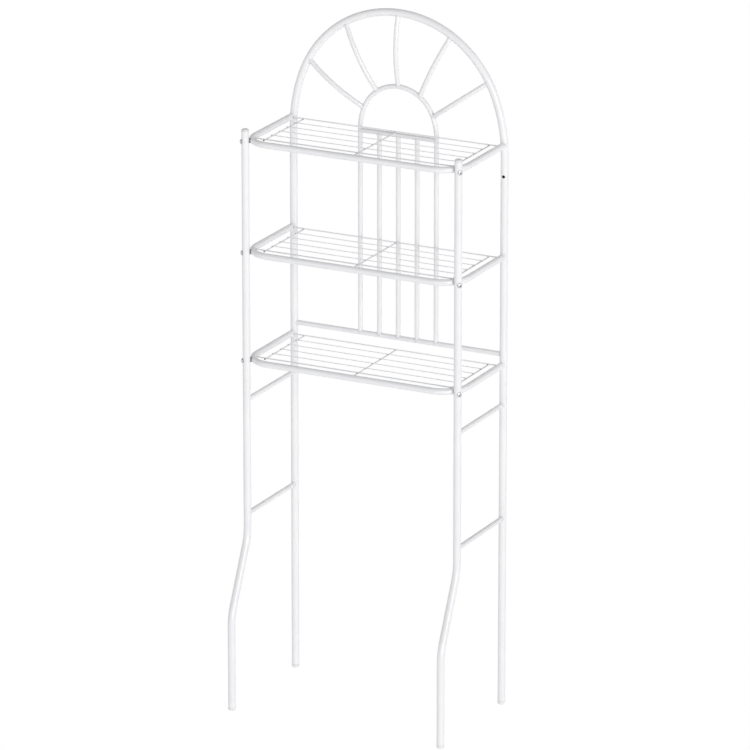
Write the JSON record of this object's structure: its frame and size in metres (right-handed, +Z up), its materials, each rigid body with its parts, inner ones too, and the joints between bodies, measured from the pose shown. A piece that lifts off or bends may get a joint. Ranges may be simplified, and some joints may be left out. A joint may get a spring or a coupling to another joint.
{
  "type": "over-the-toilet storage rack",
  "caption": "Free-standing tube rack that straddles a toilet: wire shelves between four posts, with a sunburst arch over its back panel.",
  "frame": {"origin": "on the floor, in the middle of the rack's box", "axes": "+Z up, +X to the right seen from the front, the shelves open towards -Y and the arched back panel is on the +Y side"},
  "size_m": [0.6028, 0.364, 1.7558],
  "materials": {
    "powder_coat": "glossy white powder coat on steel tube and wire",
    "white_plastic": "white moulded caps and feet with a soft sheen",
    "grey_plastic": "dark grey moulded saddle washers",
    "zinc_plate": "bright zinc plate on bolts, screws and threaded plugs"
  },
  "bodies": {
    "root": {"arch_tube": "powder_coat", "inner_arch": "powder_coat", "panel_bottom_rail": "powder_coat", "panel_top_bar": "powder_coat", "baluster_left": "powder_coat", "baluster_middle": "powder_coat", "baluster_right": "powder_coat", "arch_spoke_1": "powder_coat", "arch_spoke_2": "powder_coat", "arch_spoke_3": "powder_coat", "arch_spoke_4": "powder_coat", "arch_spoke_5": "powder_coat", "front_post_left": "powder_coat", "front_leg_left": "powder_coat", "back_leg_left": "powder_coat", "side_rung_upper_left": "powder_coat", "side_rung_lower_left": "powder_coat", "post_cap_left": "white_plastic", "foot_cap_front_left": "white_plastic", "foot_cap_back_left": "white_plastic", "front_post_right": "powder_coat", "front_leg_right": "powder_coat", "back_leg_right": "powder_coat", "side_rung_upper_right": "powder_coat", "side_rung_lower_right": "powder_coat", "post_cap_right": "white_plastic", "foot_cap_front_right": "white_plastic", "foot_cap_back_right": "white_plastic", "shelf_frame_top": "powder_coat", "shelf_wires_top": "powder_coat", "corner_bolt_top_left": "zinc_plate", "saddle_washer_top_left": "grey_plastic", "rear_screw_top_left": "zinc_plate", "tube_plug_top_left": "zinc_plate", "corner_bolt_top_right": "zinc_plate", "saddle_washer_top_right": "grey_plastic", "rear_screw_top_right": "zinc_plate", "tube_plug_top_right": "zinc_plate", "shelf_frame_middle": "powder_coat", "shelf_wires_middle": "powder_coat", "corner_bolt_middle_left": "zinc_plate", "saddle_washer_middle_left": "grey_plastic", "rear_screw_middle_left": "zinc_plate", "tube_plug_middle_left": "zinc_plate", "corner_bolt_middle_right": "zinc_plate", "saddle_washer_middle_right": "grey_plastic", "rear_screw_middle_right": "zinc_plate", "tube_plug_middle_right": "zinc_plate", "shelf_frame_bottom": "powder_coat", "shelf_wires_bottom": "powder_coat", "corner_bolt_bottom_left": "zinc_plate", "saddle_washer_bottom_left": "grey_plastic", "rear_screw_bottom_left": "zinc_plate", "tube_plug_bottom_left": "zinc_plate", "corner_bolt_bottom_right": "zinc_plate", "saddle_washer_bottom_right": "grey_plastic", "rear_screw_bottom_right": "zinc_plate", "tube_plug_bottom_right": "zinc_plate"}
  },
  "joints": []
}
